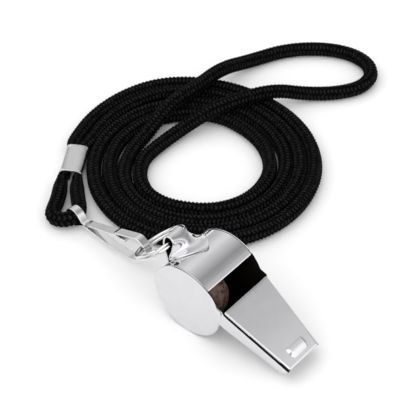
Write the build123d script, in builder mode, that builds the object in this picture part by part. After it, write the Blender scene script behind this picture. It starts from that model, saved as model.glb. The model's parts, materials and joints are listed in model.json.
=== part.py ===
"""Metal pea whistle on a black lanyard: split ring, spring clip, crimped cord and coiled neck loop.

Frame: millimetres, +Z up, the whistle and its cord lie on the plane z = 0.
+X runs from the cord's clip to the mouthpiece, the barrel's axis is parallel to Y.
"""
import os
from math import atan2, cos, degrees, pi, radians, sin, tan

from build123d import *

os.makedirs("parts", exist_ok=True)

# ---- driving dimensions (mm) -------------------------------------------------------------
sheet = 0.5                       # thickness of the pressed sheet pieces
barrel_r = 10.5                   # outer radius of the barrel
plate_r = 10.65                   # side plates stand a little proud of the barrel
body_w = 18.2                     # over the two side plates
barrel_x, barrel_z = 10.4, plate_r
lip_angle = 49.0                  # window's upper lip, degrees above +X
floor_angle = -5.0                # where the barrel strip leaves the circle for the mouthpiece
tip_x = 41.3                      # end of the mouthpiece
cover_back = (22.4, 14.35)        # top of the cover at the window (x, z)
cover_tip = (tip_x, 4.65)         # top of the cover at the tip
mouth_h = 3.6                     # outside thickness of the flat mouthpiece
cover_back_half, cover_tip_half = 8.9, 6.3
flange_h = 1.3                    # depth of the cover's folded edges
pea_r = 6.5
pea_gap = 0.1

ring_centre = (-5.35, -0.7, 15.1)
ring_normal = (0.66, 0.0, -0.75)
ring_r, ring_wire, ring_stack = 7.2, 1.0, 1.9

eye_x, eye_y, eye_z = -38.1, 1.5, 3.0
clip_w, clip_t = 2.4, 0.6
clip_eye_r = 2.65                 # middle of the strip round the cord
clip_run = Vector(26.8, -2.5, 0).normalized()

cord_d = 4.0
coil_x, coil_y = -25.5, 40.8
coil_in, coil_out, lead_in, lead_out = 16.8, 33.9, 31.8, 40.2
lead_start, lead_end = 200.0, 92.0    # the pair from the crimp joins the coil between these angles
crimp_foot = Vector(-50.7, 12.35, 2.45)
crimp_dir = Vector(-0.532, 0.847, 0).normalized()
crimp_len, crimp_w, crimp_h, crimp_wall = 11.1, 6.6, 4.8, 0.5


def save(part, name):
    part.label = name
    export_step(part, f"parts/{name}.step")


def around(radius, angle, cx=barrel_x, cz=barrel_z):
    """Point at a radius and an angle in degrees about a centre."""
    return (cx + radius * cos(radians(angle)), cz + radius * sin(radians(angle)))


def corner_radii(points):
    """One arc per corner: 0.45 of the shorter run over the tangent of half the turn."""
    radii = []
    for a, b, c in zip(points, points[1:], points[2:]):
        run_in, run_out = Vector(*b) - Vector(*a), Vector(*c) - Vector(*b)
        half = radians(run_in.get_angle(run_out)) / 2
        radii.append(0.45 * min(run_in.length, run_out.length) / tan(half))
    return radii


def print_cord(name, part, length):
    section = pi * cord_d ** 2 / 4
    print(f"{name}: length {length:.1f} mm, volume {part.volume:.0f}, section x length {section * length:.0f}")


side_xz = Plane(origin=(0, 0, 0), x_dir=(1, 0, 0), z_dir=(0, -1, 0))    # sketches of side profiles
slope = atan2(cover_back[1] - cover_tip[1], cover_tip[0] - cover_back[0])
down = (-sin(slope), -cos(slope))       # from the cover's top towards the mouthpiece's floor
taper = atan2(cover_back_half - cover_tip_half, tip_x - cover_back[0])


def below(point, depth):
    """Point at a depth under the cover's top, square to it."""
    return (point[0] + depth * down[0], point[1] + depth * down[1])


def flank(inset, side):
    """Vertical plane along one tapering side of the mouthpiece, at an inset from the cover's edge."""
    n = Vector(sin(taper), side * cos(taper), 0)
    start = Vector(cover_back[0], side * cover_back_half, 0) - n * inset
    return Plane(origin=start, x_dir=(cos(taper), -side * sin(taper), 0), z_dir=n)


# ---- barrel strip: runs round the barrel and on as the mouthpiece's floor ---------------------
strip_r = barrel_r - sheet / 2
floor_start = around(strip_r, floor_angle)
floor_tip = below(cover_tip, mouth_h - sheet / 2)
with BuildPart() as barrel_strip:
    with BuildSketch(side_xz):
        with BuildLine() as strip_line:
            CenterArc((barrel_x, barrel_z), strip_r, lip_angle, 360 + floor_angle - lip_angle)
            Line(floor_start, floor_tip)
        trace(strip_line.line, sheet)
    extrude(amount=body_w / 2 - sheet - 0.02, both=True)
    for side in (-1, 1):
        split(bisect_by=flank(0.55 + sheet + 0.02, side), keep=Keep.BOTTOM)
save(barrel_strip.part, "barrel_strip")


# ---- side plates: round cheek with a slim tongue bent inwards along the mouthpiece ----------
def side_plate(side):
    tongue_back = below(cover_back, sheet + 0.1)
    tongue_front = below(cover_tip, sheet + 0.1)
    with BuildPart() as plate:
        with BuildSketch(side_xz.offset(-side * body_w / 2)):
            with Locations((barrel_x, barrel_z)):
                Circle(plate_r)
            with BuildLine():
                Polyline(around(plate_r - 0.2, 24), cover_back, below(cover_back, mouth_h),
                         around(plate_r - 0.2, -8), (barrel_x, barrel_z), close=True)
            make_face()
        extrude(amount=side * sheet)
        outer = flank(0.55, side)
        with BuildSketch(Plane(origin=outer.origin, x_dir=outer.x_dir, z_dir=outer.z_dir)) as tongue:
            base, rise = outer.origin.X, 1 if side < 0 else -1
            stretch = 1 / cos(taper)
            corners = [(cover_back[0] - 2.2, tongue_back[1] + 0.9), tongue_front,
                       below(cover_tip, mouth_h), (cover_back[0] - 2.2, below(cover_back, mouth_h)[1] + 0.9)]
            with BuildLine():
                Polyline(*[((x - base) * stretch, rise * z) for x, z in corners], close=True)
            make_face()
        extrude(amount=-sheet)
    return plate.part


for side, name in ((-1, "side_plate_left"), (1, "side_plate_right")):
    save(side_plate(side), name)

# ---- mouthpiece cover: tapering channel with a raised tooth grip near the tip ------------------
grip_len, grip_w, grip_rise, grip_back = 6.6, 2.4, 0.6, 3.7
with BuildPart() as mouthpiece_cover:
    with BuildSketch(side_xz):
        with BuildLine():
            Polyline(cover_back, cover_tip, below(cover_tip, flange_h), below(cover_back, flange_h), close=True)
        make_face()
    extrude(amount=cover_back_half + 1, both=True)
    for side in (-1, 1):
        split(bisect_by=flank(0, side), keep=Keep.BOTTOM)
    long_edges = [e for e in mouthpiece_cover.edges() if e.length > 15 and abs(e.center().Z -
                  (cover_back[1] + cover_tip[1]) / 2) < 0.05]
    fillet(long_edges, 0.8)
with BuildPart() as cover_hollow:
    with BuildSketch(side_xz):
        with BuildLine():
            Polyline(below((cover_back[0] - 2, cover_back[1] + 2 * tan(slope)), sheet),
                     below((tip_x + 2, cover_tip[1] - 2 * tan(slope)), sheet),
                     below((tip_x + 2, cover_tip[1] - 2 * tan(slope)), 3),
                     below((cover_back[0] - 2, cover_back[1] + 2 * tan(slope)), 3), close=True)
        make_face()
    extrude(amount=cover_back_half + 1, both=True)
    for side in (-1, 1):
        split(bisect_by=flank(sheet, side), keep=Keep.BOTTOM)
grip_x = tip_x - grip_back * cos(slope)
grip_z = cover_tip[1] + grip_back * sin(slope)
with BuildPart() as mouthpiece_top:
    add(mouthpiece_cover.part)
    add(cover_hollow.part, mode=Mode.SUBTRACT)
    with BuildSketch(Plane(origin=(grip_x, 0, grip_z), x_dir=(0, 1, 0), z_dir=(sin(slope), 0, cos(slope)))):
        SlotOverall(grip_len, grip_w)
    extrude(amount=grip_rise, taper=25)
save(mouthpiece_top.part, "mouthpiece_cover")

# ---- windway plate: lies under the cover and turns down to close the mouthpiece's lower half ------
windway_gap = 1.1
with BuildPart() as windway_plate:
    with BuildSketch(side_xz):
        plate_back = below((cover_back[0] + 0.6, cover_back[1] - 0.6 * tan(slope)), sheet + windway_gap + 0.2)
        plate_tip = below((tip_x - 0.6, cover_tip[1] + 0.6 * tan(slope)), sheet + windway_gap + 0.2)
        with BuildLine() as windway_line:
            Polyline((floor_start[0] + 0.65, floor_start[1] + 0.45), plate_back, plate_tip)
        trace(windway_line.line, 0.4)
    extrude(amount=cover_back_half, both=True)
    for side in (-1, 1):
        split(bisect_by=flank(0.55 + sheet + 0.02, side), keep=Keep.BOTTOM)
save(windway_plate.part, "windway_plate")

# ---- cork ball, lying at the bottom of the chamber -----------------------------------------
pea_orbit = barrel_r - sheet - pea_r - pea_gap
pea_y = -(body_w / 2 - sheet - pea_r - pea_gap)
with BuildPart() as cork_ball:
    with Locations((barrel_x, pea_y, barrel_z - pea_orbit)):
        Sphere(pea_r)
save(cork_ball.part, "cork_ball")

# ---- lug: folded strip with a drop-shaped tunnel, its foot brazed on the barrel ----------------
lug_t, lug_half, foot_half, toe_half = 0.6, 2.4, 5.6, 1.4
lug_x, lug_z, lug_bend, lug_drop = barrel_x - 10.35, barrel_z + 9.8, 1.85, 1.8
foot_r = barrel_r + lug_t / 2
with BuildPart() as lug_foot:
    with BuildSketch(side_xz):
        with BuildLine() as foot_line:
            CenterArc((barrel_x, barrel_z), foot_r, 104, 64)
        trace(foot_line.line, lug_t)
    extrude(amount=foot_half, both=True)
    with BuildSketch(Plane.XY.offset(-1)):
        root, toe, heel = around(foot_r, 140)[0], around(foot_r, 104)[0] + 0.5, around(foot_r, 168)[0] - 0.5
        with BuildLine():
            Polyline((toe, -toe_half), (root, -foot_half), (heel, -3), (heel, 3), (root, foot_half),
                     (toe, toe_half), close=True)
        make_face()
    extrude(amount=30, mode=Mode.INTERSECT)
with BuildPart() as lug:
    with BuildSketch(side_xz):
        with BuildLine() as loop_line:
            Polyline(around(foot_r, 151), (lug_x + lug_bend - 0.25, lug_z - lug_drop), (lug_x + lug_bend, lug_z))
            CenterArc((lug_x, lug_z), lug_bend, 0, 180)
            Polyline((lug_x - lug_bend, lug_z), (lug_x - lug_bend + 0.25, lug_z - lug_drop),
                     around(foot_r + 0.1, 156))
        trace(loop_line.line, lug_t)
    extrude(amount=lug_half, both=True)
    add(lug_foot.part)
save(lug.part, "lug")

# ---- split ring: two turns of wire lying on each other ---------------------------------------
ring_plane = Plane(origin=ring_centre, x_dir=(0, 1, 0), z_dir=ring_normal)
with BuildPart() as split_ring:
    with BuildSketch(Plane(origin=ring_plane.origin, x_dir=ring_plane.x_dir, z_dir=-ring_plane.y_dir)):
        with Locations((ring_r, 0)):
            RectangleRounded(ring_wire, ring_stack, 0.3)
    revolve(axis=Axis(ring_plane.origin, ring_plane.z_dir))
save(split_ring.part, "split_ring")

# ---- spring clip: one flat strip, pinched behind the eye; its free arm is the sprung gate -----------
clip_plane = Plane(origin=(eye_x, eye_y, 0), x_dir=clip_run, z_dir=Vector(0, 0, 1).cross(clip_run) * -1)
with BuildPart() as clip_body:
    with BuildSketch(clip_plane):
        with BuildLine() as clip_line:
            eye = CenterArc((0, eye_z), clip_eye_r, 35, 285)
            FilletPolyline((4.9, 3.62), (3.7, 3.42), eye @ 0, radius=0.5)
            FilletPolyline(eye @ 1, (3.8, 2.66), (14, 2.45), (22.5, 3.6), (28.2, 6.4), (29.2, 10.9),
                           (25.7, 12.9), (16.8, 8.95), radius=1.0)
        trace(clip_line.line, clip_t)
    extrude(amount=clip_w / 2, both=True)
save(clip_body.part, "clip_body")

with BuildPart() as clip_gate:
    with BuildSketch(clip_plane):
        with BuildLine() as gate_line:
            FilletPolyline((5.05, 3.75), (16.2, 8.0), (21.2, 8.8), radius=4)
        trace(gate_line.line, clip_t)
    extrude(amount=clip_w / 2, both=True)
save(clip_gate.part, "clip_gate")

# ---- crimp: flat sheet ferrule squeezed on the two cords ------------------------------------
crimp_across = crimp_dir.cross(Vector(0, 0, 1))
crimp_plane = Plane(origin=crimp_foot, x_dir=crimp_across, z_dir=crimp_dir)
inner_w, inner_h = crimp_w - 2 * crimp_wall, crimp_h - 2 * crimp_wall
with BuildPart() as crimp_ferrule:
    with BuildSketch(crimp_plane):
        RectangleRounded(crimp_w, crimp_h, 1.6)
        RectangleRounded(inner_w, inner_h, 1.1, mode=Mode.SUBTRACT)
    extrude(amount=crimp_len)
save(crimp_ferrule.part, "crimp_ferrule")

with BuildPart() as cord_pinch:
    with BuildSketch(crimp_plane):
        RectangleRounded(inner_w, inner_h, 1.1)
    extrude(amount=crimp_len)
save(cord_pinch.part, "cord_pinch")


# ---- neck cord: pair from the crimp, coil of doubled cord, and the loop's free end ------------------
def coil_point(radius, angle):
    return around(radius, angle, coil_x, coil_y)


narrow_start = -100               # from here the outer turn draws in towards the crimp
lead_mid = (lead_in + lead_out) / 2 + 0.05
lead_face = Plane(origin=(*coil_point(lead_mid, lead_start), cord_d / 2),
                  x_dir=(cos(radians(lead_start)), sin(radians(lead_start)), 0),
                  z_dir=(sin(radians(lead_start)), -cos(radians(lead_start)), 0))
with BuildPart() as neck_lead:
    with BuildSketch(Plane(origin=crimp_foot + crimp_dir * crimp_len, x_dir=crimp_across * -1, z_dir=crimp_dir)):
        RectangleRounded(inner_w, inner_h, 1.1)
    with BuildSketch(lead_face):
        RectangleRounded(lead_out - lead_in, cord_d, 1.1)
    loft()
save(neck_lead.part, "neck_lead")

with BuildPart() as neck_coil:
    with BuildSketch():
        with BuildLine():
            ThreePointArc(coil_point(lead_out, lead_start), coil_point(39.9, 152), coil_point(coil_out, lead_end))
            CenterArc((coil_x, coil_y), coil_out, lead_end, narrow_start - lead_end)
            ThreePointArc(coil_point(coil_out, narrow_start), coil_point(32.8, -133),
                          coil_point(lead_in, lead_start))
            Line(coil_point(lead_in, lead_start), coil_point(lead_out, lead_start))
        make_face()
    extrude(amount=cord_d)
    with BuildSketch():
        with Locations((coil_x, coil_y)):
            Circle(coil_in)
        with Locations((coil_x + 3.2, coil_y + 1.2)):      # the last turn lies further in on the left
            Circle(17.5, mode=Mode.INTERSECT)
    extrude(amount=cord_d, mode=Mode.SUBTRACT)
save(neck_coil.part, "neck_coil")

loop_route = [
    (-46.5, 40.0, 2.0), (-47.2, 50.5, 6.1), (-46.2, 62.5, 6.2), (-46.6, 74.0, 5.7), (-45.2, 85.5, 2.1),
    (-40.2, 97.5, 2.0), (-31.2, 106.0, 2.05), (-22.0, 109.4, 2.0), (-13.6, 106.8, 2.05), (-10.9, 98.8, 2.0),
    (-15.4, 90.8, 2.05), (-22.6, 84.4, 2.1), (-28.0, 76.0, 5.9), (-33.0, 66.0, 6.2), (-36.4, 56.4, 5.8),
    (-40.2, 47.8, 2.3),
]
bight_route = [
    (-52.5, 11.25, 2.4), (-51.0, 7.4, 2.15), (-48.5, 3.2, 2.0), (-45.3, -1.5, 2.1), (-42.5, -2.75, 2.4),
    (-39.6, -1.75, 2.8), (-37.9, 0.9, 3.0), (-38.3, 3.9, 2.9), (-42.1, 8.1, 2.4), (-45.5, 11.2, 2.2),
    (-48.85, 13.45, 2.4),
]


def cord_tube(points, name):
    radii = corner_radii(points)
    print(name, "arc radii:", [round(r, 1) for r in radii])
    with BuildPart() as tube:
        with BuildLine() as route:
            FilletPolyline(*points, radius=radii)
        with BuildSketch(Plane(origin=route.line @ 0, z_dir=route.line % 0)):
            Circle(cord_d / 2)
        sweep(path=route.line)
    print_cord(name, tube.part, sum(edge.length for edge in route.edges()))
    return tube.part


for name, route in (("neck_loop", loop_route), ("bight_cord", bight_route)):
    save(cord_tube(route, name), name)
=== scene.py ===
import json
import math

import bpy
import numpy as np
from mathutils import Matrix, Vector


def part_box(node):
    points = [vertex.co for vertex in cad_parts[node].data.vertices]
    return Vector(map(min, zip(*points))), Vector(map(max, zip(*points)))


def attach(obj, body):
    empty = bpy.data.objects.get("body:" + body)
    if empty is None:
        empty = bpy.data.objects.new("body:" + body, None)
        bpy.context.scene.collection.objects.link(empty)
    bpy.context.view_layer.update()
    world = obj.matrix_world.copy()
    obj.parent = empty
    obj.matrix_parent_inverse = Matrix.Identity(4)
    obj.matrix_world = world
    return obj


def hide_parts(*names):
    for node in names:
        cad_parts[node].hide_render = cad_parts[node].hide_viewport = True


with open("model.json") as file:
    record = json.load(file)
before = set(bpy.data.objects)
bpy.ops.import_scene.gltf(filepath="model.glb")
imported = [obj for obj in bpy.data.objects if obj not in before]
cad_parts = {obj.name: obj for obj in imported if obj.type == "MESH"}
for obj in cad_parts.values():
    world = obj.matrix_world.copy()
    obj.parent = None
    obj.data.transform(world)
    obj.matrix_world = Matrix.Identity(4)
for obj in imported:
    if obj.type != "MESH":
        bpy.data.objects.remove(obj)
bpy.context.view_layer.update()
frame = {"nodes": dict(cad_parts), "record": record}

mm = 0.001
nodes = frame["nodes"]
scene = bpy.context.scene


# ---- small tools
def hexColour(code):     # sRGB hex to linear light, channel by channel
    parts = [int(code[i:i + 2], 16) / 255 for i in (1, 3, 5)]
    return (*[p / 12.92 if p <= 0.04045 else ((p + 0.055) / 1.055) ** 2.4 for p in parts], 1.0)


def addNode(tree, kind, settings=None, links=None):
    # one node, its socket values or properties, and what is linked to its inputs
    node = tree.nodes.new(kind)
    for key, value in (settings or {}).items():
        if isinstance(key, int) or key in node.inputs:
            node.inputs[key].default_value = value
        else:
            setattr(node, key, value)
    for key, source in (links or {}).items():
        tree.links.new(source, node.inputs[key])
    return node


def calc(tree, operation, *terms):       # one math node of sockets and numbers, its result
    node = addNode(tree, "ShaderNodeMath", {"operation": operation},
                   {i: term for i, term in enumerate(terms) if not isinstance(term, (int, float))})
    for i, term in enumerate(terms):
        if isinstance(term, (int, float)):
            node.inputs[i].default_value = term
    return node.outputs[0]


def unit(v):
    return v / np.maximum(np.linalg.norm(v, axis=-1, keepdims=True), 1e-12)


def smooth(a, b, v):       # 0 before a, 1 after b, an even S between
    k = np.clip((v - a) / (b - a), 0, 1)
    return k * k * (3 - 2 * k)


def gridMesh(name, points, capEnds=True, uv=None):
    # a grid of points as quads: each row is closed, its last point joined to its first, and the end rows are capped
    rows, cols = points.shape[:2]
    index = np.arange(rows * cols).reshape(rows, cols)
    a, b = index[:-1], index[1:]
    faces = np.stack([a, b, np.roll(b, -1, 1), np.roll(a, -1, 1)], -1).reshape(-1, 4).tolist()
    if capEnds:
        faces += [index[0].tolist(), index[-1][::-1].tolist()]
    mesh = bpy.data.meshes.new(name)
    mesh.from_pydata((points.reshape(-1, 3) * mm).tolist(), [], faces)
    if uv is not None:
        layer = mesh.uv_layers.new(name="UVMap")
        corners = np.zeros(len(mesh.loops), np.int32)
        mesh.loops.foreach_get("vertex_index", corners)
        layer.data.foreach_set("uv", uv.reshape(-1, 2)[corners].astype(np.float32).ravel())
    mesh.polygons.foreach_set("use_smooth", np.ones(len(mesh.polygons), bool))
    mesh.update()
    thing = bpy.data.objects.new(name, mesh)
    scene.collection.objects.link(thing)
    return thing


def settle(piece, body, slotName, material, *hidden):   # finish, body, and the CAD nodes a piece stands for
    piece.data.materials.clear()
    piece.data.materials.append(material)
    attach(piece, body)
    if hidden:
        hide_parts(*hidden)
    return piece


# ---- camera: long lens from the front right
cameraSet = {"place": (191.2, -218.7, 305.8), "target": (-18.35, 30.6, 0.0), "lens": 144, "sensor": 36}
cameraData = bpy.data.cameras.new("camera")
cameraData.lens, cameraData.sensor_width = cameraSet["lens"], cameraSet["sensor"]
cameraData.clip_start, cameraData.clip_end = 0.01, 10
camera = bpy.data.objects.new("camera", cameraData)
scene.collection.objects.link(camera)
camera.location = Vector(cameraSet["place"]) * mm
look = (Vector(cameraSet["target"]) - Vector(cameraSet["place"])).normalized()
camera.rotation_mode = "QUATERNION"
camera.rotation_quaternion = look.to_track_quat("-Z", "Y")
scene.camera = camera


# ---- knitted polyester cord: matt black yarn, each stitch a small V-shaped loop
cordSet = {
    "diameter": 4.0, "swell": 1.13,     # the soft cord bulges a little where nothing squeezes it
    "wales": 7,              # columns of stitches round the cord
    "stitch": 1.15,          # one stitch's length along the cord
    "relief": 0.58,          # how far a stitch stands out
    "lean": 0.45,            # how far the loop's legs run ahead of its middle, in stitches
    "valley": 0.55, "dip": 0.35,        # how low a stitch falls at the edge of its column and between two stitches
    "perWale": 4, "perStitch": 4,       # mesh lines for each column and each stitch
    "lift": 0.16,            # the fuller cord is raised so that it still rests on the table
    "pinch": 0.30, "pinchReach": 3.0,   # how far the ferrule squeezes the ends, and over what length
    "girth": 12.6,           # width of the surface's own map round the cord
    # painted shade in the grooves between stitches, and the yarn's black with a painted sheen on the stitch tops
    "paintedShadeBlack": "#000000", "yarnWithPaintedSheen": "#232325",
}


def knitPolyester():
    # matt black yarn with painted shade and a painted highlight: the colour follows the stitch height, black between
    # the stitches and lighter on their tops. Height of a stitch = (1 - valley x away squared) x wave: away is the
    # distance from the middle of its column, wave a cosine along the cord from dip to 1, bent into a V by away
    material = bpy.data.materials.new("knitBlackPolyester")
    material.use_nodes = True
    tree = material.node_tree
    tree.nodes.clear()
    place = addNode(tree, "ShaderNodeUVMap", {"uv_map": "UVMap"})
    both = addNode(tree, "ShaderNodeSeparateXYZ", {}, {0: place.outputs[0]})
    wale = calc(tree, "MULTIPLY", both.outputs[0], cordSet["wales"] / cordSet["girth"])
    away = calc(tree, "MULTIPLY", calc(tree, "ABSOLUTE", calc(tree, "SUBTRACT", calc(tree, "FRACT", wale), 0.5)), 2.0)
    odd = calc(tree, "MULTIPLY", calc(tree, "MODULO", calc(tree, "FLOOR", wale), 2.0), 0.5)
    lean = calc(tree, "MULTIPLY_ADD", away, cordSet["lean"], odd)
    phase = calc(tree, "MULTIPLY_ADD", both.outputs[1], 1 / cordSet["stitch"], lean)
    swing = (1 - cordSet["dip"]) / 2
    wave = calc(tree, "MULTIPLY_ADD", calc(tree, "COSINE", calc(tree, "MULTIPLY", phase, 2 * math.pi)), swing,
                1 - swing)
    edge = calc(tree, "SUBTRACT", 1.0,
                calc(tree, "MULTIPLY", calc(tree, "MULTIPLY", away, away), cordSet["valley"]))
    height = calc(tree, "MULTIPLY", wave, edge)
    fibre = addNode(tree, "ShaderNodeTexNoise", {"Scale": 5.0, "Detail": 4.0, "Roughness": 0.7},
                    {"Vector": place.outputs[0]})
    uneven = addNode(tree, "ShaderNodeTexNoise", {"Scale": 0.8, "Detail": 1.0}, {"Vector": place.outputs[0]})
    loose = calc(tree, "MULTIPLY_ADD", uneven.outputs[0], 0.9, -0.70)       # some stitches stand prouder than others
    mixed = calc(tree, "ADD", calc(tree, "MULTIPLY_ADD", fibre.outputs[0], 0.5, height), loose)
    # painted shade and painted highlight: colour by stitch height, black in the grooves and lighter on the stitch
    # tops
    tone = addNode(tree, "ShaderNodeValToRGB", {}, {"Fac": mixed})
    tone.color_ramp.elements[0].position, tone.color_ramp.elements[0].color = 0.50, hexColour(cordSet["paintedShadeBlack"])
    tone.color_ramp.elements[1].position, tone.color_ramp.elements[1].color = 1.0, hexColour(cordSet["yarnWithPaintedSheen"])
    bump = addNode(tree, "ShaderNodeBump", {"Strength": 0.5, "Distance": 0.00025}, {"Height": mixed})
    surface = addNode(tree, "ShaderNodeBsdfPrincipled",
                      {"Roughness": 0.75, "Specular IOR Level": 0.05},
                      {"Base Color": tone.outputs[0], "Normal": bump.outputs[0]})
    addNode(tree, "ShaderNodeOutputMaterial", {}, {"Surface": surface.outputs[0]})
    return material


cordFinish = knitPolyester()


def curvePoints(name, points):
    # NURBS curve of order 3: it runs inside its control points and touches only the first and the last
    curve = bpy.data.curves.new(name, "CURVE")
    curve.dimensions = "3D"
    spline = curve.splines.new("NURBS")
    spline.points.add(len(points) - 1)
    spline.points.foreach_set("co", np.c_[np.array(points) * mm, np.ones(len(points))].ravel())
    spline.order_u = 3
    spline.use_endpoint_u = True
    spline.resolution_u = 12
    carrier = bpy.data.objects.new(name, curve)
    scene.collection.objects.link(carrier)
    line = bpy.data.meshes.new_from_object(carrier)
    co = np.zeros(len(line.vertices) * 3)
    line.vertices.foreach_get("co", co)
    bpy.data.objects.remove(carrier)
    bpy.data.meshes.remove(line)
    return co.reshape(-1, 3) / mm


def evenly(path, step):      # the same line with points an even step apart
    along = np.r_[0, np.cumsum(np.linalg.norm(np.diff(path, axis=0), axis=1))]
    keep = np.r_[True, np.diff(along) > 1e-9]
    along, path = along[keep], path[keep]
    count = int(round(along[-1] / step)) + 1
    s = np.linspace(0, along[-1], count)
    return np.stack([np.interp(s, along, path[:, k]) for k in range(3)], -1), s


def knitTube(name, route, turn=0.0):
    # circle of the cord's radius carried along the route; the radius rises over each wale and each stitch,
    # and the stitches' rows bend into a V because their phase grows away from the wale's middle
    line, s = evenly(curvePoints(name + "Line", route), cordSet["stitch"] / cordSet["perStitch"])
    line[:, 2] += cordSet["lift"]
    tangent = unit(np.gradient(line, axis=0))
    side = unit(np.cross(np.array([0, 0, 1.0]), tangent))
    up = np.cross(tangent, side)
    around = cordSet["wales"] * cordSet["perWale"]
    theta = np.arange(around) / around * 2 * np.pi
    wale = theta[None, :] * cordSet["wales"] / (2 * np.pi)
    away = np.abs(wale - np.floor(wale) - 0.5) * 2                   # 0 in the middle of a wale, 1 at its edge
    phase = s[:, None] / cordSet["stitch"] + cordSet["lean"] * away + 0.5 * (np.floor(wale) % 2)
    stitch = 0.5 + 0.5 * np.cos(2 * np.pi * phase)
    height = (1 - cordSet["valley"] * away ** 2) * (cordSet["dip"] + (1 - cordSet["dip"]) * stitch)
    radius = cordSet["diameter"] / 2 * cordSet["swell"] - cordSet["relief"] * (1 - height)
    nearEnd = np.minimum(s, s[-1] - s)[:, None]
    squeeze = 1 - cordSet["pinch"] * np.exp(-(nearEnd / cordSet["pinchReach"]) ** 2)
    spin = theta[None, :] + turn * s[:, None]
    points = (line[:, None] + side[:, None] * (radius * squeeze * np.cos(spin))[..., None]
              + up[:, None] * (radius * squeeze ** 0.7 * np.sin(spin))[..., None])
    uv = np.stack([np.broadcast_to(theta / (2 * np.pi) * cordSet["girth"], radius.shape),
                   np.broadcast_to(s[:, None], radius.shape)], -1)
    return gridMesh(name, points, uv=uv), line * mm, s[-1]


# ---- neck cord: doubled, coiled clockwise from the crimp, its closed end laid over the coil
coilSet = {
    "centre": (-25.5, 40.8), "step": 18.0, "fit": 1.0125,   # fit: the spline runs inside its control points
    "outerStop": -535, "innerStop": -520,                   # where each strand leaves the coil for the loop
    "outerAngle": (205, 150, 132, 90, 0, -96, -115, -131, -145, -155, -168, -180, -192, -205, -217, -230,
                   -250, -270, -360, -456, -475, -492, -516, -543),
    "outerRadius": (38.1, 38.1, 36.3, 32.7, 32.0, 32.5, 31.9, 31.3, 31.2, 30.8, 30.0, 29.5, 29.0, 27.6, 27.2,
                    26.6, 25.2, 23.7, 23.1, 24.4, 23.9, 22.7, 21.0, 20.7),
    "innerAngle": (205, 150, 132, 90, 0, -96, -115, -131, -155, -180, -192, -205, -217, -230, -250, -267, -290,
                   -424, -440, -456, -471, -492, -516, -538),
    "innerRadius": (33.7, 33.7, 31.9, 28.2, 27.6, 28.1, 27.5, 26.8, 26.4, 25.15, 24.65, 23.3, 22.9, 22.25, 20.85,
                    19.1, 18.5, 18.5, 19.3, 19.9, 19.5, 18.2, 16.4, 16.1),
    "rest": 2.02,            # height of the cord's middle above the table
    "core": 18.5, "closer": 0.09, "outward": 0.35,          # the turns lie closer together on the right-hand side
    "apart": 1.5, "tuck": 2.0, "clear": 1.0,                # the two ends: half their spacing, run in, run out
}
crimpSet = {"foot": (-50.7, 12.35, 2.45), "along": (-0.532, 0.847, 0.0), "length": 11.1, "width": 6.6,
            "height": 4.8, "wall": 0.5}
crimpFoot, crimpAlong = np.array(crimpSet["foot"]), unit(np.array(crimpSet["along"]))
crimpAcross = np.cross(crimpAlong, [0, 0, 1.0])
crimpTop = crimpFoot + crimpAlong * crimpSet["length"]


def coilTurns(angles, radii, stop):
    # clockwise spiral: the radius is read off the list by angle, then drawn in on the right by a cosine of the angle
    theta = np.arange(angles[0], stop, -coilSet["step"])
    r = np.interp(-theta, -np.array(angles), radii) * coilSet["fit"]
    a = np.radians(theta)
    r = r + (coilSet["outward"] - coilSet["closer"] * (r - coilSet["core"])) * (0.5 + 0.5 * np.cos(a))
    return np.stack([coilSet["centre"][0] + r * np.cos(a), coilSet["centre"][1] + r * np.sin(a),
                     np.full(len(a), coilSet["rest"])], -1)


outerTurns = coilTurns(coilSet["outerAngle"], coilSet["outerRadius"], coilSet["outerStop"])
innerTurns = coilTurns(coilSet["innerAngle"], coilSet["innerRadius"], coilSet["innerStop"])
loopRoute = [(-46.5, 40.0, 2.0), (-47.2, 50.5, 6.1), (-46.2, 62.5, 6.2), (-46.6, 74.0, 5.7), (-45.2, 85.5, 2.1),
             (-40.2, 97.5, 2.0), (-31.2, 106.0, 2.05), (-22.0, 109.4, 2.0), (-13.6, 106.8, 2.05),
             (-10.9, 98.8, 2.0), (-15.4, 90.8, 2.05), (-22.6, 84.4, 2.1), (-28.0, 76.0, 5.9), (-33.0, 66.0, 6.2),
             (-36.4, 56.4, 5.8), (-40.2, 47.8, 2.3)]
leaveOuter = crimpTop - crimpAcross * coilSet["apart"]
leaveInner = crimpTop + crimpAcross * coilSet["apart"]
tuck, clear = crimpAlong * coilSet["tuck"], crimpAlong * coilSet["clear"]
neckRoute = np.vstack([leaveOuter - tuck, leaveOuter + clear, outerTurns, loopRoute,
                       innerTurns[::-1], leaveInner + clear, leaveInner - tuck])
neckCord, neckLine, neckLength = knitTube("neckCord", neckRoute, turn=0.012)
settle(neckCord, "cord", "cord", cordFinish, "neck_coil", "neck_lead", "neck_loop", "cord_pinch")
print("neck cord", round(neckLength, 1), "mm,", len(neckCord.data.polygons) * 2, "triangles")

bightRoute = [(-52.5, 11.25, 2.4), (-50.2, 7.9, 2.15), (-47.3, 3.9, 2.0), (-44.8, -1.1, 2.1),
              (-42.5, -2.75, 2.4), (-39.6, -1.75, 2.8), (-37.9, 0.9, 3.0), (-38.7, 3.6, 2.9), (-43.1, 7.3, 2.4),
              (-46.5, 10.6, 2.2), (-48.85, 13.45, 2.4)]
bightCord, bightLine, bightLength = knitTube("bightCord", bightRoute)
settle(bightCord, "cord", "cord", cordFinish, "bight_cord")
print("bight", round(bightLength, 1), "mm")


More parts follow.
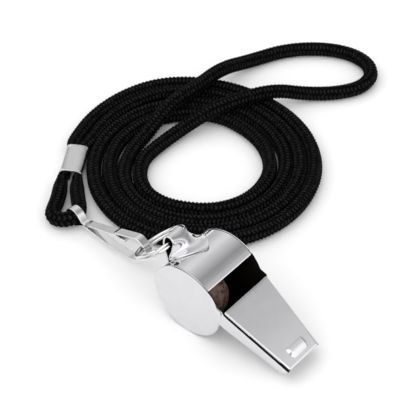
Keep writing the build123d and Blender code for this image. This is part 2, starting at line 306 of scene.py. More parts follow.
# ---- plated metal: bright, nearly clear reflections, with a faint haze and hairline wear from handling
def platedMetal(name, shade, rough, hairline):
    material = bpy.data.materials.new(name)
    material.use_nodes = True
    tree = material.node_tree
    tree.nodes.clear()
    place = addNode(tree, "ShaderNodeTexCoord")
    haze = addNode(tree, "ShaderNodeTexNoise", {"Scale": 1 / (4 * mm), "Detail": 3.0, "Roughness": 0.6},
                   {"Vector": place.outputs["Object"]})                       # smudges about 4 mm across
    stretch = addNode(tree, "ShaderNodeMapping", {"Scale": (1.0, 14.0, 14.0), "Rotation": (0.2, 0.1, 0.5)},
                      {"Vector": place.outputs["Object"]})
    scratch = addNode(tree, "ShaderNodeTexNoise", {"Scale": 1 / (2.2 * mm), "Detail": 2.0},
                      {"Vector": stretch.outputs[0]})             # hairlines, drawn coarser than real ones
    both = addNode(tree, "ShaderNodeMix", {"data_type": "FLOAT", 0: 0.35},
                   {2: haze.outputs[0], 3: scratch.outputs[0]})
    polish = addNode(tree, "ShaderNodeMapRange", {"From Min": 0.3, "From Max": 0.7, "To Min": rough * 0.75,
                                                  "To Max": rough * 1.35}, {"Value": both.outputs[0]})
    bump = addNode(tree, "ShaderNodeBump", {"Strength": hairline, "Distance": 0.00002},
                   {"Height": scratch.outputs[0]})
    tone = addNode(tree, "ShaderNodeValToRGB", {}, {"Fac": haze.outputs[0]})
    tone.color_ramp.elements[0].position, tone.color_ramp.elements[1].position = 0.35, 0.65
    pale = hexColour(shade)
    tone.color_ramp.elements[0].color = (pale[0] * 0.965, pale[1] * 0.965, pale[2] * 0.97, 1)
    tone.color_ramp.elements[1].color = pale
    surface = addNode(tree, "ShaderNodeBsdfPrincipled", {"Metallic": 1.0},
                      {"Base Color": tone.outputs[0], "Roughness": polish.outputs[0], "Normal": bump.outputs[0]})
    addNode(tree, "ShaderNodeOutputMaterial", {}, {"Surface": surface.outputs[0]})
    return material


chromeFinish = platedMetal("polishedChromePlate", "#dedee0", 0.10, 0.05)
nickelFinish = platedMetal("brightNickelPlate", "#e0e0e0", 0.12, 0.08)
crimpFinish = platedMetal("satinNickelPlate", "#cfcfcf", 0.24, 0.05)


def naturalCork():     # pressed cork: warm brown with darker bark grains about 1 mm across
    material = bpy.data.materials.new("naturalCork")
    material.use_nodes = True
    tree = material.node_tree
    tree.nodes.clear()
    place = addNode(tree, "ShaderNodeTexCoord")
    grain = addNode(tree, "ShaderNodeTexVoronoi", {"Scale": 1 / (1.1 * mm)}, {"Vector": place.outputs["Object"]})
    fine = addNode(tree, "ShaderNodeTexNoise", {"Scale": 1 / (0.8 * mm), "Detail": 4.0},
                   {"Vector": place.outputs["Object"]})
    mixed = addNode(tree, "ShaderNodeMix", {"data_type": "FLOAT", 0: 0.45},
                    {2: fine.outputs[0], 3: grain.outputs["Distance"]})
    tone = addNode(tree, "ShaderNodeValToRGB", {}, {"Fac": mixed.outputs[0]})
    tone.color_ramp.elements[0].position, tone.color_ramp.elements[0].color = 0.3, hexColour("#3d2b22")
    tone.color_ramp.elements[1].position, tone.color_ramp.elements[1].color = 0.62, hexColour("#8c7264")
    bump = addNode(tree, "ShaderNodeBump", {"Strength": 0.6, "Distance": 0.0002}, {"Height": mixed.outputs[0]})
    surface = addNode(tree, "ShaderNodeBsdfPrincipled", {"Roughness": 0.85, "IOR": 1.4},
                      {"Base Color": tone.outputs[0], "Normal": bump.outputs[0]})
    addNode(tree, "ShaderNodeOutputMaterial", {}, {"Surface": surface.outputs[0]})
    return material


corkFinish = naturalCork()
slotFinish = {"chrome": chromeFinish, "nickel": nickelFinish, "crimp": crimpFinish, "cord": cordFinish,
              "cork": corkFinish}
for part in frame["record"]["subparts"]:
    nodes[part["node"]].data.materials.clear()
    nodes[part["node"]].data.materials.append(slotFinish[part["material_slot"]])

# ---- sheet metal by profile and path
def stripOutline(corner, guard, steps=3):
    # a rectangle with rounded corners, as signs times half sizes plus offsets; the wide sides get a guard point
    # beside each corner, which keeps them flat
    signs, offsets = [], []
    for sa, sb, first in ((1, -1, -90), (1, 1, 0), (-1, 1, 90), (-1, -1, 180)):
        t = np.radians(np.linspace(first, first + 90, steps + 1))
        a, b = corner * np.cos(t) - sa * corner, corner * np.sin(t) - sb * corner
        before = [(-sa * (corner + guard), 0.0)] if sa * sb < 0 else []
        after = [(-sa * (corner + guard), 0.0)] if sa * sb > 0 else []
        run = before + list(zip(a, b)) + after
        offsets += run
        signs += [(sa, sb)] * len(run)
    return np.array(signs, float), np.array(offsets)


def stripAlong(name, path, outward, halfWide, halfThick, corner=0.12, guard=0.15):
    # the rounded rectangle carried along a path: across is square to the path and to its outward direction;
    # at both ends the section shrinks over a quarter circle, so that the edges there are rounded too
    path, outward = np.asarray(path, float), unit(np.asarray(outward, float))
    tangent = unit(np.gradient(path, axis=0))
    across = unit(np.cross(tangent, outward))
    halfWide = np.broadcast_to(np.asarray(halfWide, float), len(path)).copy()
    k = np.radians([0, 30, 60])
    inset, back = corner * (1 - np.sin(k)), corner * (1 - np.cos(k))
    head = path[:1] + tangent[:1] * back[:, None]
    tail = path[-1:] - tangent[-1:] * back[::-1][:, None]
    path = np.vstack([head, path[1:-1], tail])
    stack = lambda v: np.concatenate([np.repeat(v[:1], 3, 0), v[1:-1], np.repeat(v[-1:], 3, 0)])
    across, outward, halfWide = map(stack, (across, outward, halfWide))
    shrink = np.concatenate([inset, np.zeros(len(path) - 6), inset[::-1]])
    signs, offsets = stripOutline(corner, guard)
    a = signs[None, :, 0] * (halfWide - shrink)[:, None] + offsets[None, :, 0]
    b = signs[None, :, 1] * (halfThick - shrink)[:, None] + offsets[None, :, 1]
    points = path[:, None] + across[:, None] * a[..., None] + outward[:, None] * b[..., None]
    return gridMesh(name, points)


def arcPoints(centre, radius, first, last, step=3.0):      # points on a circle in the x-z plane, degrees
    a = np.radians(np.linspace(first, last, max(2, int(abs(last - first) / step) + 1)))
    return np.stack([centre[0] + radius * np.cos(a), centre[1] + radius * np.sin(a)], -1)


def softCorners(points, radius, step=8.0):
    # straight runs joined by arcs of one radius, as a bent strip is
    points = [np.array(p, float) for p in points]
    out = [points[0]]
    for a, b, c in zip(points, points[1:], points[2:]):
        u, v = unit(a - b), unit(c - b)
        half = math.acos(np.clip(u @ v, -1, 1)) / 2
        reach = min(radius / math.tan(half), 0.48 * np.linalg.norm(a - b), 0.48 * np.linalg.norm(c - b))
        r = reach * math.tan(half)
        centre = b + unit(u + v) * r / math.sin(half)
        p, q = b + u * reach - centre, b + v * reach - centre
        turn = math.atan2(p[0] * q[1] - p[1] * q[0], p @ q)
        k = np.linspace(0, 1, max(3, int(abs(math.degrees(turn)) / step) + 2)) * turn
        out += [centre + np.array([p[0] * math.cos(s) - p[1] * math.sin(s), p[0] * math.sin(s) + p[1] * math.cos(s)])
                for s in k]
    return np.array(out + [points[-1]])


def thicken(line, longest):      # more points on the long runs of a line, none of the old ones moved
    pieces = [np.linspace(a, b, max(1, int(np.linalg.norm(b - a) / longest)), endpoint=False)
              for a, b in zip(line, line[1:])]
    return np.vstack(pieces + [line[-1:]])


# ---- whistle: the sizes that the barrel, plates, mouthpiece and lug share
whistle = {
    "sheet": 0.5, "barrelRadius": 10.5, "plateRadius": 10.65, "width": 18.2, "axisX": 10.4, "axisZ": 10.65,
    "lipAngle": 49.0, "floorAngle": -5.0, "coverBack": (22.4, 14.35), "coverTip": (41.3, 4.65),
    "mouthHeight": 3.6, "floorInset": 0.4, "backHalf": 8.9, "tipHalf": 6.3,
    "braze": 0.02, "stripInset": 0.42,      # gaps at the strip's edges, beside the plates and beside the cover
}
axis = (whistle["axisX"], whistle["axisZ"])
backX, backZ = whistle["coverBack"]
tipX, tipZ = whistle["coverTip"]
slope = math.atan2(backZ - tipZ, tipX - backX)
taper = (whistle["backHalf"] - whistle["tipHalf"]) / (tipX - backX)


def coverTop(x, depth=0.0):        # height of the cover's top at x, or a depth below it, square to it
    return backZ - (x - backX) * math.tan(slope) - depth / math.cos(slope)


def mouthHalf(x, inset=0.0):       # half width of the tapering mouthpiece at x
    return whistle["backHalf"] - (x - backX) * taper - inset


# barrel strip: arc from the window's lip round to the floor, then a straight run to the tip
stripRadius = whistle["barrelRadius"] - whistle["sheet"] / 2
ringPart = arcPoints(axis, stripRadius, whistle["lipAngle"], 360 + whistle["floorAngle"], 2.5)
underTip = whistle["mouthHeight"] - whistle["sheet"] / 2 - whistle["floorInset"]
floorTip = np.array([tipX - underTip * math.sin(slope), tipZ - underTip * math.cos(slope)])
floorRun = np.linspace(ringPart[-1], floorTip, 14)[1:]
stripPath = np.vstack([ringPart, floorRun])
ringOut = unit(ringPart - np.array(axis))
runDirection = unit(floorTip - ringPart[-1])
runOut = np.repeat([[runDirection[1], -runDirection[0]]], len(floorRun), 0)
stripOut = np.vstack([ringOut, runOut])
stripHalf = np.minimum(whistle["width"] / 2 - whistle["sheet"] - whistle["braze"],
                       mouthHalf(stripPath[:, 0], whistle["stripInset"]))
barrelStrip = stripAlong("barrelStrip", np.c_[stripPath[:, 0], np.zeros(len(stripPath)), stripPath[:, 1]],
                         np.c_[stripOut[:, 0], np.zeros(len(stripOut)), stripOut[:, 1]], stripHalf,
                         whistle["sheet"] / 2, corner=0.14, guard=0.2)
settle(barrelStrip, "whistle", "chrome", chromeFinish, "barrel_strip")
print("barrel strip", len(barrelStrip.data.polygons) * 2, "triangles")


# side plate: outline between a lower and an upper edge, each a height over x; the face follows y(x)
plateSet = {"belowStrip": 0.33, "seamDepth": 0.85, "tongueThick": 0.32, "corner": 0.12, "bendFrom": 20.4,
            "bendTo": 23.4, "rimInset": 0.6, "rim": 0.34, "dome": 0.05, "flatInset": 0.06,
            "neckAngle": 24}        # where the round edge gives way to the line up to the cover, degrees


def sidePlate(name, side):
    R, c, thick = whistle["plateRadius"], plateSet["corner"], whistle["sheet"]
    t = np.radians(np.r_[3, np.arange(5, 165, 2.5), np.arange(165, 172.5, 1.5)])
    xDisc = axis[0] - R * np.cos(t)
    xTongue = np.r_[np.linspace(21.1, 23.2, 9), np.linspace(23.8, tipX - 0.1, 26)]
    x = np.r_[xDisc, xTongue]
    rise = np.sqrt(np.maximum(R ** 2 - (x - axis[0]) ** 2, 0))
    neck = math.radians(plateSet["neckAngle"])
    cornerX, cornerZ = axis[0] + R * math.cos(neck), axis[1] + R * math.sin(neck)
    top = np.where(x < cornerX, axis[1] + rise,
                   np.where(x < backX, np.interp(x, [cornerX, backX], [cornerZ, backZ - 0.05]),
                            coverTop(x, plateSet["seamDepth"])))
    # along the mouthpiece the lower edge lies further back than the upper one, so that the end is square to the slope
    reach = np.clip((x - 23.2) / (tipX - 23.2), 0, 1)
    lowX = x - reach * whistle["mouthHeight"] * math.sin(slope)
    runLow = ringPart[-1, 1] + (lowX - ringPart[-1, 0]) * runDirection[1] / runDirection[0] - plateSet["belowStrip"]
    bottom = np.where(x < xDisc[-1] + 0.01, axis[1] - rise, runLow)

    def outwardOf(edgeX, z, sign):        # unit normals of an edge, pointing out of the plate
        dx, dz = np.gradient(edgeX), np.gradient(z)
        n = np.stack([-dz, dx], -1) * sign
        n[0] = (-1, 0)
        return unit(n)
    upper, lower = np.stack([x, top], -1), np.stack([lowX, bottom], -1)
    nu, nl = outwardOf(x, top, 1), outwardOf(lowX, bottom, -1)
    rim, drop = plateSet["rimInset"], plateSet["rim"]      # the edge leans back towards the strip it is brazed to
    edge = [(c, drop * 0.8), (rim * 0.6, drop * 0.35), (rim, 0.03), (rim * 1.25, 0.0)]
    inward = [(c * (1 - math.sin(math.radians(k))), drop * 0.9 + c * (1 - math.cos(math.radians(k))))
              for k in (60, 30, 0)]
    columns, depths = [], []
    back = [(0.05, thick), (0.0, thick - 0.02)]
    for inset, depth in back + inward[::-1][1:] + edge:
        columns.append(lower - nl * inset)
        depths.append(np.full(len(x), depth))
    low0, up0 = lower - nl * edge[-1][0], upper - nu * edge[-1][0]
    for v in np.linspace(0, 1, 9)[1:-1]:
        columns.append(low0 + (up0 - low0) * v)
        depths.append(np.zeros(len(x)))
    for inset, depth in edge[::-1] + inward[:-1] + back[::-1]:
        columns.append(upper - nu * inset)
        depths.append(np.full(len(x), depth))
    columns, depths = np.stack(columns, 1), np.stack(depths, 1)
    # the face: flat and slightly domed over the barrel, then bent in to follow the mouthpiece's taper
    px, pz = columns[..., 0], columns[..., 1]
    blend = smooth(plateSet["bendFrom"], plateSet["bendTo"], px)
    far = ((px - axis[0]) ** 2 + (pz - axis[1]) ** 2) / R ** 2
    flat = whistle["width"] / 2 - plateSet["flatInset"] + plateSet["dome"] * np.clip(1 - far, 0, 1)
    face = flat * (1 - blend) + mouthHalf(px) * blend
    wall = 1 - (1 - plateSet["tongueThick"] / thick) * blend
    y = side * (face - depths * wall)
    points = np.stack([px, y, pz], -1)
    if side > 0:
        points = points[:, ::-1]
    return gridMesh(name, points)


plateLeft = settle(sidePlate("sidePlateLeft", -1), "whistle", "chrome", chromeFinish, "side_plate_left")
plateRight = settle(sidePlate("sidePlateRight", 1), "whistle", "chrome", chromeFinish, "side_plate_right")

# ---- mouthpiece cover: tapering sheet whose edges turn down between the tongues, its tip rolled over,
# with a pressed tooth grip near the tip
coverSet = {"edgeInset": 0.42, "fillet": 0.55, "filletTip": 0.85, "turnDown": 0.95, "bow": 0.10,
            "backDip": 0.06, "backReach": 1.2,
            "grip": (-3.55, 0.2, 2.3),      # place along and across, half length
            "gripRise": 0.72, "gripBack": 0.75, "gripFront": 2.5, "gripTop": 0.5,
            "slit": (-2.7, -2.75), "slitSize": (0.34, 0.34), "slitDepth": 0.55,
            "tipRoll": 0.75, "tipPast": 0.35, "thin": 0.9}


def coverSurface(q, edge, depth=0.0):
    # q runs down the slope with 0 at the tip, edge from -1 to 1 across the sheet and its turned-down sides
    run = (tipX - backX) / math.cos(slope)
    x = tipX + q * math.cos(slope)
    half = mouthHalf(x, coverSet["edgeInset"])
    r = coverSet["fillet"] + (coverSet["filletTip"] - coverSet["fillet"]) * smooth(-12, 0, q)
    down = coverSet["turnDown"]
    flat, arc, side = half - r, r * np.pi / 2, down - r
    s = edge * (flat + arc + side)                      # length along the cross-section from its middle
    a = np.abs(s)
    turn = np.clip((a - flat) / r, 0, np.pi / 2)
    y = np.where(a < flat, a, flat + r * np.sin(turn))
    drop = np.where(a < flat, 0, r * (1 - np.cos(turn))) + np.clip(a - flat - arc, 0, None)
    # inner side: each point moves in along the section's own normal
    y = np.sign(s) * (y - depth * np.sin(turn))
    drop = drop + depth * np.cos(turn)
    lift = coverSet["bow"] * (1 - (2 * (q + run) / run - 1) ** 2) * (1 - (np.abs(y) / half) ** 2)
    lift = lift - coverSet["backDip"] * np.clip(1 - (q + run) / coverSet["backReach"], 0, 1) ** 2
    # tooth grip: steep at the back and ends, sloping off gently towards the tip
    gq, gy, gl = coverSet["grip"]
    reach = np.where(q < gq, coverSet["gripBack"], coverSet["gripFront"])
    sideways = np.maximum(np.abs(y - gy) - gl, 0) / (coverSet["gripBack"] * 1.3)
    away = np.hypot(np.maximum(np.abs(q - gq) - coverSet["gripTop"] * 0.5, 0) / reach, sideways)
    lift = lift + coverSet["gripRise"] * (1 - smooth(0.0, 1.0, away))
    sq, sy = coverSet["slit"]
    sinkAway = np.hypot((q - sq) / coverSet["slitSize"][0], (y - sy) / coverSet["slitSize"][1])
    lift = lift - coverSet["slitDepth"] * (1 - smooth(0.55, 1.1, sinkAway))
    past = np.clip(q + coverSet["tipRoll"] - coverSet["tipPast"], 0, None) / coverSet["tipRoll"]
    roll = coverSet["tipRoll"] * 0.62 * past ** 2
    height = lift - drop - roll
    return np.stack([x + height * math.sin(slope), y, tipZ - q * math.sin(slope) + height * math.cos(slope)], -1)


def coverPiece(name):
    run = (tipX - backX) / math.cos(slope)
    q = np.r_[np.linspace(-run, -run + 0.4, 4), np.linspace(-run + 0.8, -5.6, 26), np.arange(-5.45, -1.9, 0.11),
              np.arange(-1.8, coverSet["tipPast"], 0.12)]
    e = np.r_[np.linspace(-1, -0.84, 12)[:-1], np.linspace(-0.84, 0.84, 96), np.linspace(0.84, 1, 12)[1:]]
    q, e = np.meshgrid(q, e, indexing="ij")
    outer = coverSurface(q, e)
    inner = coverSurface(q, e, whistle["sheet"] * coverSet["thin"])
    points = np.concatenate([outer, inner[:, ::-1]], 1)
    return gridMesh(name, points)


cover = coverPiece("mouthpieceCover")
settle(cover, "whistle", "chrome", chromeFinish, "mouthpiece_cover")
print("mouthpiece cover", len(cover.data.polygons) * 2, "triangles")

# ---- split ring: flat-sided wire wound twice; each end steps over to the other layer
ringSet = {"centre": (-5.35, -0.7, 15.1), "normal": (0.66, 0.0, -0.75), "radius": 7.2, "wire": 0.86, "wide": 0.9,
           "lay": 0.505, "jog": 0.35, "endsAt": 2.4}       # lay: each layer's distance from the middle, in wires


def splitRing(name):       # a circle gone round twice, stepping along its axis by a smooth S after one turn
    n = unit(np.array(ringSet["normal"]))
    u = np.array([0, 1.0, 0])
    v = np.cross(n, u)
    a = np.linspace(0, 4 * np.pi, 241)
    layer = smooth(2 * np.pi - ringSet["jog"], 2 * np.pi + ringSet["jog"], a) * 2 - 1
    spin = a + ringSet["endsAt"]
    out = np.cos(spin)[:, None] * u + np.sin(spin)[:, None] * v
    step = layer * ringSet["wire"] * ringSet["lay"]
    path = np.array(ringSet["centre"]) + out * ringSet["radius"] + n * step[:, None]
    return stripAlong(name, path, out, ringSet["wire"] / 2, ringSet["wide"] / 2, corner=0.38, guard=0.02)


settle(splitRing("splitRing"), "ring", "nickel", nickelFinish, "split_ring")
print("side plates and split ring done")

# ---- spring clip: a flat strip bent round the cord and pinched; its inner end is the gate
clipSet = {"eye": (-38.1, 1.5, 3.0), "run": (26.8, -2.5, 0.0), "wide": 2.4, "thick": 0.6, "eyeRadius": 2.65}
clipRun = unit(np.array(clipSet["run"]))
eye = arcPoints((0, clipSet["eye"][2]), clipSet["eyeRadius"], 35, 320, 7)


def clipStrip(name, line):       # the strip's section carried along a line drawn upright over the clip's run
    line = thicken(np.asarray(line), 1.2)
    direction = unit(np.gradient(line, axis=0))
    normal = np.stack([-direction[:, 1], direction[:, 0]], -1)
    place = lambda p: p[:, :1] * clipRun + p[:, 1:] * np.array([0, 0, 1.0])
    base = np.array([clipSet["eye"][0], clipSet["eye"][1], 0])
    return stripAlong(name, base + place(line), place(normal), clipSet["wide"] / 2, clipSet["thick"] / 2, corner=0.16)


clipLine = np.vstack([softCorners([(4.9, 3.62), (3.7, 3.42), eye[0]], 0.5)[:-1], eye[:-1],
                      softCorners([eye[-1], (3.8, 2.66), (14, 2.45), (22.5, 3.6), (28.35, 6.3), (29.4, 10.95),
                                   (25.7, 12.9), (16.8, 8.95)], 2.5)])
settle(clipStrip("clipBody", clipLine), "clip", "nickel", nickelFinish, "clip_body")
settle(clipStrip("clipGate", softCorners([(5.05, 3.75), (16.2, 8.0), (21.2, 8.8)], 4.0)), "gate", "nickel",
       nickelFinish, "clip_gate")

# ---- crimp: sheet folded round the two cords, its ends flared by the press, the seam underneath
flareSet = {"lip": 0.5, "farLip": 0.5, "lipReach": 0.55, "lipRound": 0.3, "lipFold": 0.35, "wave": 0.25, "dent": 0.14,
            "dentReach": 3.2, "gap": 0.25, "square": 3.6}      # square: the power of the superellipse


def crimpPiece(name):
    # superellipse section swept along the ferrule, wider near each end by a bell of the distance from it
    L, wall = crimpSet["length"], crimpSet["wall"]
    s = np.r_[np.linspace(0, 0.3, 5), np.linspace(0.4, 1.2, 8), np.linspace(1.6, L - 1.6, 18),
              np.linspace(L - 1.2, L, 9)]
    k = np.linspace(0, 1, 97)                       # round the section, starting and ending at the seam below
    t = -np.pi / 2 + (k * 2 - 1) * np.pi * (1 - flareSet["gap"] / 20) + np.pi
    power = 2 / flareSet["square"]                  # flat faces with tight corners
    cx = np.sign(np.cos(t)) * np.abs(np.cos(t)) ** power
    cz = np.sign(np.sin(t)) * np.abs(np.sin(t)) ** power
    rolled = np.clip(1 - s / flareSet["lipRound"], 0, 1) ** 2 * flareSet["lipFold"]
    nearLip = np.exp(-(s / flareSet["lipReach"]) ** 2)
    farLip = flareSet["farLip"] * np.exp(-((L - s) / flareSet["lipReach"]) ** 2)
    flare = -rolled + flareSet["lip"] * (nearLip + farLip)
    wave = 1 + flareSet["wave"] * np.cos(3 * t)[None, :]
    dent = flareSet["dent"] * np.exp(-((s - L / 2) / flareSet["dentReach"]) ** 2)

    def skin(depth):
        half = crimpSet["width"] / 2 - depth - 0.1
        high = crimpSet["height"] / 2 - depth - 0.1
        a = cx[None, :] * (half + flare[:, None] * wave * 0.5)
        b = cz[None, :] * (high + flare[:, None] * wave * 0.7 - dent[:, None] * (1 - np.abs(cx[None, :]) ** 3))
        return (crimpFoot + crimpAlong * s[:, None, None] + crimpAcross * a[..., None]
                + np.array([0, 0, 1.0]) * b[..., None])
    outer, inner = skin(0.0), skin(wall)
    points = np.concatenate([outer, inner[:, ::-1]], 1)
    return gridMesh(name, points)


settle(crimpPiece("crimpFerrule"), "cord", "crimp", crimpFinish, "crimp_ferrule")
print("clip, gate and crimp done")

# ---- cork ball: a sphere roughened by a few sine waves in fixed directions
ballSet = {"place": "cork_ball", "radius": 6.5, "inset": 0.06, "rough": 0.05, "waves": (9, 13, 17, 23, 29)}


def corkBall(name):
    low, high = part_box(ballSet["place"])
    centre = np.array((low + high) / 2) / mm
    lat, lon = np.radians(np.linspace(-90, 90, 61)), np.radians(np.arange(0, 360, 4))
    d = np.stack([np.cos(lat)[:, None] * np.cos(lon), np.cos(lat)[:, None] * np.sin(lon),
                  np.repeat(np.sin(lat)[:, None], len(lon), 1)], -1)
    bump = np.zeros(d.shape[:2])
    for i, turns in enumerate(ballSet["waves"]):
        way = unit(np.array([math.sin(i * 2.1 + 0.4), math.cos(i * 1.7), math.sin(i * 3.3 + 1.0)]))
        bump += np.sin(turns * (d @ way) + i) / (i + 2)
    radius = ballSet["radius"] - ballSet["inset"] + ballSet["rough"] * bump
    return gridMesh(name, centre + d * radius[..., None], capEnds=False)


settle(corkBall("corkBall"), "pea", "cork", corkFinish, "cork_ball")
print("cork ball done")

# ---- lug: one sheet folded over the ring's wire, its apron brazed on the barrel
# a smooth surface pulled towards a grid of points: rows run from the back foot over the fold to the toe,
# columns from the near edge to the far one
lugSet = {"thick": 0.5, "rows": (        # near edge, middle (x, z), far edge
    ((0.15, -2.6, 13.2), (0.15, 13.2), (0.15, 3.0, 13.2)),
    ((0.35, -4.4, 14.6), (0.35, 14.6), (0.35, 5.0, 14.6)),
    ((0.85, -5.2, 16.1), (0.75, 16.2), (0.75, 6.1, 16.2)),
    ((0.85, -5.3, 16.9), (0.3, 17.0), (0.5, 5.8, 17.0)),
    ((-0.1, -4.9, 18.0), (-0.4, 18.0), (-0.1, 4.6, 18.0)),
    ((-1.35, -4.2, 19.3), (-1.5, 19.3), (-1.35, 2.6, 19.3)),
    ((-1.9, -3.7, 21.6), (-1.9, 21.6), (-1.9, 1.4, 21.6)),
    ((-0.6, -3.6, 23.1), (-0.6, 23.1), (-0.6, 1.2, 23.1)),
    ((1.7, -3.6, 22.7), (1.7, 22.7), (1.7, 1.3, 22.7)),
    ((2.3, -4.2, 20.6), (2.9, 21.9), (2.2, 2.8, 20.8)),
    ((1.45, -5.4, 17.5), (4.0, 21.3), (1.9, 5.4, 18.0)),
    ((1.75, -5.7, 17.6), (4.8, 21.1), (2.3, 5.9, 18.2)),
    ((3.2, -5.8, 19.0), (5.7, 21.0), (3.2, 6.0, 18.9)),
    ((4.8, -5.3, 20.2), (6.6, 21.2), (4.3, 5.6, 19.6)),
    ((6.4, -3.9, 21.0), (7.5, 21.5), (5.6, 4.7, 20.5)),
    ((8.0, -1.8, 21.45), (8.5, 21.7), (7.1, 3.4, 21.1)),
    ((9.3, 0.2, 21.5), (9.2, 21.6), (8.5, 2.2, 21.4))),
    "alongCount": 120, "acrossCount": 34, "controls": 7, "crown": 1.1}


def splineBasis(count, samples, degree=3):       # weights of clamped B-spline points at even parameters
    knots = np.r_[np.zeros(degree), np.linspace(0, 1, count - degree + 1), np.ones(degree)]
    u = np.linspace(0, 1, samples)
    u[-1] -= 1e-9
    w = ((u[:, None] >= knots[None, :-1]) & (u[:, None] < knots[None, 1:])).astype(float)
    for k in range(1, degree + 1):
        left, right = knots[k:-1] - knots[:-k - 1], knots[k + 1:] - knots[1:-k]
        a = np.where(left > 0, (u[:, None] - knots[None, :-k - 1]) / np.where(left > 0, left, 1), 0)
        b = np.where(right > 0, (knots[None, k + 1:] - u[:, None]) / np.where(right > 0, right, 1), 0)
        w = a * w[:, :-1] + b * w[:, 1:]
    return w


def lugPiece(name):
    across = np.linspace(0, 1, lugSet["controls"])
    middle = np.sin(np.pi * across) ** lugSet["crown"]
    near = np.array([row[0] for row in lugSet["rows"]])[:, None, :]
    far = np.array([row[2] for row in lugSet["rows"]])[:, None, :]
    crown = np.array([(m[0], 0, m[1]) for _, m, _ in lugSet["rows"]])[:, None, :]
    grid = near + (far - near) * across[None, :, None]
    lift = (crown - (near + far) / 2) * middle[None, :, None]
    grid[..., 0] += lift[..., 0]
    grid[..., 2] += lift[..., 2]
    wu = splineBasis(len(grid), lugSet["alongCount"])
    wv = splineBasis(lugSet["controls"], lugSet["acrossCount"])
    top = np.einsum("ai,bj,ijk->abk", wu, wv, grid)
    du, dv = np.gradient(top, axis=0), np.gradient(top, axis=1)
    normal = unit(np.cross(du, dv))
    points = np.concatenate([top, (top - normal * lugSet["thick"])[:, ::-1]], 1)
    return gridMesh(name, points)


def paintShadeColumns(piece, first, last, columns):      # painted shade on the grid's faces between two of its columns
    data = piece.data
    column = np.arange(len(data.polygons)) % columns
    data.materials.append(paintedShadeFinish)
    data.polygons.foreach_set("material_index", ((column >= first) & (column < last)).astype(int))


lug = settle(lugPiece("lug"), "whistle", "chrome", chromeFinish, "lug")

# ---- inside faces of the whistle: painted shade, near black, so the chamber and the seams read as black
def paintedShade():
    material = bpy.data.materials.new("paintedShadeInside")
    material.use_nodes = True
    tree = material.node_tree
    tree.nodes.clear()
    place = addNode(tree, "ShaderNodeTexCoord")
    shadeBlotch = addNode(tree, "ShaderNodeTexNoise", {"Scale": 1 / (3 * mm), "Detail": 3.0},
                    {"Vector": place.outputs["Object"]})                      # uneven painted shade, patches about 3 mm across
    tone = addNode(tree, "ShaderNodeValToRGB", {}, {"Fac": shadeBlotch.outputs[0]})
    # painted shade: near black to dark brown
    tone.color_ramp.elements[0].color, tone.color_ramp.elements[1].color = hexColour("#030302"), hexColour("#1a1410")
    surface = addNode(tree, "ShaderNodeBsdfPrincipled", {"Roughness": 0.8, "Specular IOR Level": 0.1},
                      {"Base Color": tone.outputs[0]})
    addNode(tree, "ShaderNodeOutputMaterial", {}, {"Surface": surface.outputs[0]})
    return material


paintedShadeFinish = paintedShade()
insideSet = {"chamber": 10.14, "plate": 8.74, "windowLow": 10.2, "coverDeep": 0.42, "floorDeep": 3.05, "wall": 0.2}


def paintShadeInside(piece):
    # painted shade on the faces inside the barrel, between the plates beside the window, and inside the windway
    data = piece.data
    spot = np.zeros(len(data.polygons) * 3)
    data.polygons.foreach_get("center", spot)
    x, y, z = spot.reshape(-1, 3).T / mm
    chamber = np.hypot(x - axis[0], z - axis[1]) < insideSet["chamber"]
    lipX = axis[0] + whistle["barrelRadius"] * math.cos(math.radians(whistle["lipAngle"]))
    window = (x > lipX) & (x < backX) & (z > insideSet["windowLow"])
    depth = (coverTop(x) - z) * math.cos(slope)
    windway = ((x > backX) & (depth > insideSet["coverDeep"]) & (depth < insideSet["floorDeep"])
               & (np.abs(y) < mouthHalf(x, insideSet["wall"])))
    inside = (np.abs(y) < insideSet["plate"]) & (chamber | window) | windway
    data.materials.append(paintedShadeFinish)
    data.polygons.foreach_set("material_index", inside.astype(int))


for piece in (barrelStrip, cover, plateLeft, plateRight):
    paintShadeInside(piece)
# painted shade on the lug's underside, which is the second half of its columns, without the edge quads
paintShadeColumns(lug, lugSet["acrossCount"] + 1, lugSet["acrossCount"] * 2 - 1, lugSet["acrossCount"] * 2)
# the windway plate gets the painted shade all over
windway = nodes["windway_plate"]
windway.data.materials.clear()
windway.data.materials.append(paintedShadeFinish)
print("finishes done")

# ---- floor and light
floorSet = {"half": 3.0, "shade": "#f4f4f4", "rough": 0.9}      # half its side in metres
floorData = bpy.data.meshes.new("floor")
h = floorSet["half"]
floorData.from_pydata([(-h, -h, 0), (h, -h, 0), (h, h, 0), (-h, h, 0)], [], [(0, 1, 2, 3)])
floor = bpy.data.objects.new("floor", floorData)
scene.collection.objects.link(floor)
floorFinish = bpy.data.materials.new("paperSweep")
floorFinish.use_nodes = True
paper = floorFinish.node_tree.nodes["Principled BSDF"].inputs
paper["Base Color"].default_value = hexColour(floorSet["shade"])
paper["Roughness"].default_value = floorSet["rough"]
floorData.materials.append(floorFinish)

# studio round the object: a ramp from left to right for the metal to mirror, brighter in front
studioSet = {
    # place from -x to +x, brightness
    "leftToRight": ((0.0, 0.50), (0.085, 0.62), (0.19, 0.90), (0.26, 0.92), (0.34, 0.76), (0.44, 0.62), (0.52, 0.50),
                    (0.60, 0.37), (0.70, 0.46), (0.77, 0.66), (0.84, 0.95), (0.9, 1.3), (1.0, 1.3)),
    "front": 1.5, "frontStart": 0.25, "frontEnd": -0.35, "strength": 1.0,
    "room": 0.06, "roomTop": 0.12, "frontLow": 0.34,       # dark room low in front, the white begins above it
}
world = bpy.data.worlds.new("studio")
scene.world = world
world.use_nodes = True
sky = world.node_tree
sky.nodes.clear()
toward = addNode(sky, "ShaderNodeTexCoord")
axes = addNode(sky, "ShaderNodeSeparateXYZ", {}, {0: toward.outputs["Generated"]})
across = addNode(sky, "ShaderNodeMapRange", {"From Min": -1.0, "From Max": 1.0}, {"Value": axes.outputs[0]})
ramp = addNode(sky, "ShaderNodeValToRGB", {}, {"Fac": across.outputs[0]})
stops = ramp.color_ramp.elements
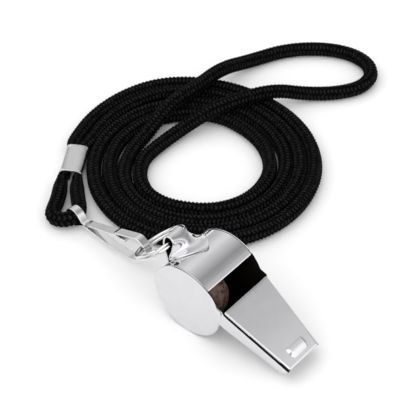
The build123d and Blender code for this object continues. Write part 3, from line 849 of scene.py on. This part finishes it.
for i, (at, level) in enumerate(studioSet["leftToRight"]):
    stop = stops[i] if i < 2 else stops.new(at)
    stop.position, stop.color = at, (level, level, level, 1)
inFront = addNode(sky, "ShaderNodeMapRange", {"From Min": studioSet["frontStart"], "From Max": studioSet["frontEnd"],
                                              "interpolation_type": "SMOOTHSTEP"}, {"Value": axes.outputs[1]})
rise = addNode(sky, "ShaderNodeMapRange", {"From Min": studioSet["roomTop"], "From Max": studioSet["frontLow"],
                                           "To Min": studioSet["room"], "To Max": studioSet["front"],
                                           "interpolation_type": "SMOOTHSTEP"}, {"Value": axes.outputs[2]})
joined = addNode(sky, "ShaderNodeMix", {"data_type": "RGBA"},
                 {0: inFront.outputs[0], 6: ramp.outputs[0], 7: rise.outputs[0]})
back = addNode(sky, "ShaderNodeBackground", {"Strength": studioSet["strength"]}, {"Color": joined.outputs[2]})
addNode(sky, "ShaderNodeOutputWorld", {}, {"Surface": back.outputs[0]})
scene.view_settings.view_transform = "Standard"


def softbox(name, place, target, size, power):
    # soft lamp for the floor and cord; the metal mirrors the studio only
    data = bpy.data.lights.new(name, "AREA")
    data.shape, data.size, data.size_y, data.energy = "RECTANGLE", size[0] * mm, size[1] * mm, power
    lamp = bpy.data.objects.new(name, data)
    scene.collection.objects.link(lamp)
    lamp.location = Vector(place) * mm
    lamp.rotation_mode = "QUATERNION"
    lamp.rotation_quaternion = (Vector(target) - Vector(place)).to_track_quat("-Z", "Y")
    lamp.visible_glossy = False


softbox("topLight", (-60, 120, 600), (-10, 20, 0), (1500, 1500), 1.9)

# a pale card held close over the mouthpiece; only mirrored, brighter away from the barrel
cardSet = {"low": (31.0, -20.0), "high": (90.0, 70.0), "height": 45.0,
           "tone": ((0.0, 0.50), (0.07, 0.62), (0.3, 0.70), (0.55, 0.86), (1.0, 0.95))}
(x0, y0), (x1, y1) = cardSet["low"], cardSet["high"]
cardData = bpy.data.meshes.new("bounceCard")
cardData.from_pydata([(x * mm, y * mm, cardSet["height"] * mm)
                      for x, y in ((x0, y0), (x0, y1), (x1, y1), (x1, y0))], [], [(0, 1, 2, 3)])
card = bpy.data.objects.new("bounceCard", cardData)
scene.collection.objects.link(card)
card.visible_camera = card.visible_diffuse = card.visible_shadow = card.visible_transmission = False
glow = bpy.data.materials.new("cardGlow")
glow.use_nodes = True
tree = glow.node_tree
tree.nodes.clear()
place = addNode(tree, "ShaderNodeTexCoord")
axes = addNode(tree, "ShaderNodeSeparateXYZ", {}, {0: place.outputs["Object"]})
along = addNode(tree, "ShaderNodeMapRange", {"From Min": x0 * mm, "From Max": x1 * mm}, {"Value": axes.outputs[0]})
tone = addNode(tree, "ShaderNodeValToRGB", {}, {"Fac": along.outputs[0]})
for i, (at, level) in enumerate(cardSet["tone"]):
    stop = tone.color_ramp.elements[i] if i < 2 else tone.color_ramp.elements.new(at)
    stop.position, stop.color = at, (level, level, level, 1)
shine = addNode(tree, "ShaderNodeEmission", {"Strength": 1.0}, {"Color": tone.outputs[0]})
addNode(tree, "ShaderNodeOutputMaterial", {}, {"Surface": shine.outputs[0]})
cardData.materials.append(glow)

print("floor, studio and lamp done")
